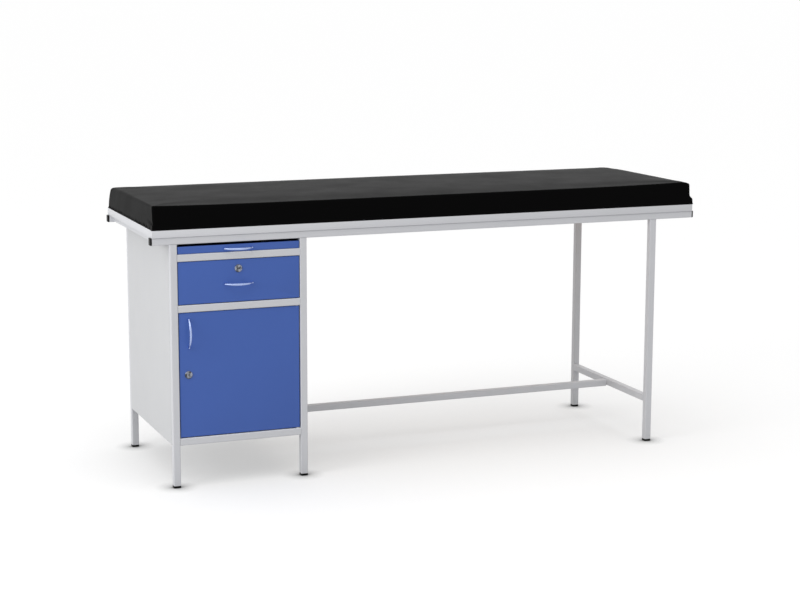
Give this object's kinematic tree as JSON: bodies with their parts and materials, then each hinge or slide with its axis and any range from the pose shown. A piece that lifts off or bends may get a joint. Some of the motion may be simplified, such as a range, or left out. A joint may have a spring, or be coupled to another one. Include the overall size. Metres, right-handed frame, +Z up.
{
  "type": "examination table",
  "caption": "Padded examination table on a square-tube frame, with a cabinet holding a pull-out tray, a drawer and a hinged door, and an H-frame leg pair.",
  "frame": {"origin": "on the floor, under the middle of the whole object's bounding box", "axes": "+X along the bed from the cabinet's end to the open end, +Y from the drawer side to the rear, +Z up"},
  "size_m": [1.84, 0.608, 0.8695],
  "materials": {
    "frame_paint": "satin white powder coat",
    "panel_paint": "satin light grey powder coat",
    "blue_paint": "satin blue powder coat",
    "black_plastic": "matt black",
    "zinc_plate": "dull zinc plate",
    "bright_plate": "satin bright plate",
    "plywood": "bare plywood",
    "nylon": "natural nylon",
    "vinyl": "black vinyl over foam, satin"
  },
  "bodies": {
    "frame": {"front_rail": "frame_paint", "rear_rail": "frame_paint", "front_angle": "frame_paint", "rear_angle": "frame_paint", "left_angle": "frame_paint", "right_angle": "frame_paint", "left_end_bearer": "frame_paint", "cabinet_left_bearer": "frame_paint", "cabinet_right_bearer": "frame_paint", "middle_bearer": "frame_paint", "h_frame_bearer": "frame_paint", "right_end_bearer": "frame_paint", "cabinet_front_left_leg": "frame_paint", "cabinet_front_right_leg": "frame_paint", "cabinet_rear_left_leg": "frame_paint", "cabinet_rear_right_leg": "frame_paint", "h_frame_front_leg": "frame_paint", "h_frame_rear_leg": "frame_paint", "h_frame_crossbar": "frame_paint", "stretcher": "frame_paint", "locker_sill_rail": "frame_paint", "locker_head_rail": "frame_paint", "drawer_head_rail": "frame_paint", "cabinet_left_panel": "panel_paint", "cabinet_right_panel": "panel_paint", "cabinet_back_panel": "panel_paint", "cabinet_floor": "panel_paint", "locker_shelf": "panel_paint", "shelf_angles": "panel_paint", "rail_end_caps": "black_plastic", "foot_caps": "black_plastic", "deck_screws": "zinc_plate", "drawer_runners": "zinc_plate", "tray_runners": "zinc_plate", "deck_board": "plywood", "door_pivot_bushes": "nylon", "mattress": "vinyl"},
    "tray": {"tray_face": "blue_paint", "tray_pan": "blue_paint", "tray_slides": "zinc_plate", "tray_handle": "bright_plate", "tray_handle_screws": "zinc_plate"},
    "drawer": {"drawer_face": "blue_paint", "drawer_box": "blue_paint", "drawer_slides": "zinc_plate", "drawer_handle": "bright_plate", "drawer_handle_screws": "zinc_plate", "drawer_lock_barrel": "bright_plate"},
    "drawer_lock": {"drawer_lock_plug": "bright_plate", "drawer_lock_cam": "zinc_plate"},
    "door": {"door_panel": "blue_paint", "door_pivot_pins": "zinc_plate", "door_handle": "bright_plate", "door_handle_screws": "zinc_plate", "door_lock_barrel": "bright_plate"},
    "door_lock": {"door_lock_plug": "bright_plate", "door_lock_cam": "zinc_plate"}
  },
  "joints": [
    {"name": "tray_slide", "type": "slide", "parent": "frame", "child": "tray", "axis": [0, -1, 0], "range_m": [0, 0.33]},
    {"name": "drawer_slide", "type": "slide", "parent": "frame", "child": "drawer", "axis": [0, -1, 0], "range_m": [0, 0.38]},
    {"name": "drawer_lock_turn", "type": "hinge", "parent": "drawer", "child": "drawer_lock", "pos_m": [-0.649, -0.276, 0.668], "axis": [0, -1, 0], "range_deg": [0, 90]},
    {"name": "door_swing", "type": "hinge", "parent": "frame", "child": "door", "pos_m": [-0.462, -0.269, 0.348], "axis": [0, 0, 1], "range_deg": [0, 100]},
    {"name": "door_lock_turn", "type": "hinge", "parent": "door", "child": "door_lock", "pos_m": [-0.809, -0.275, 0.35], "axis": [0, 1, 0], "range_deg": [0, 90]}
  ]
}
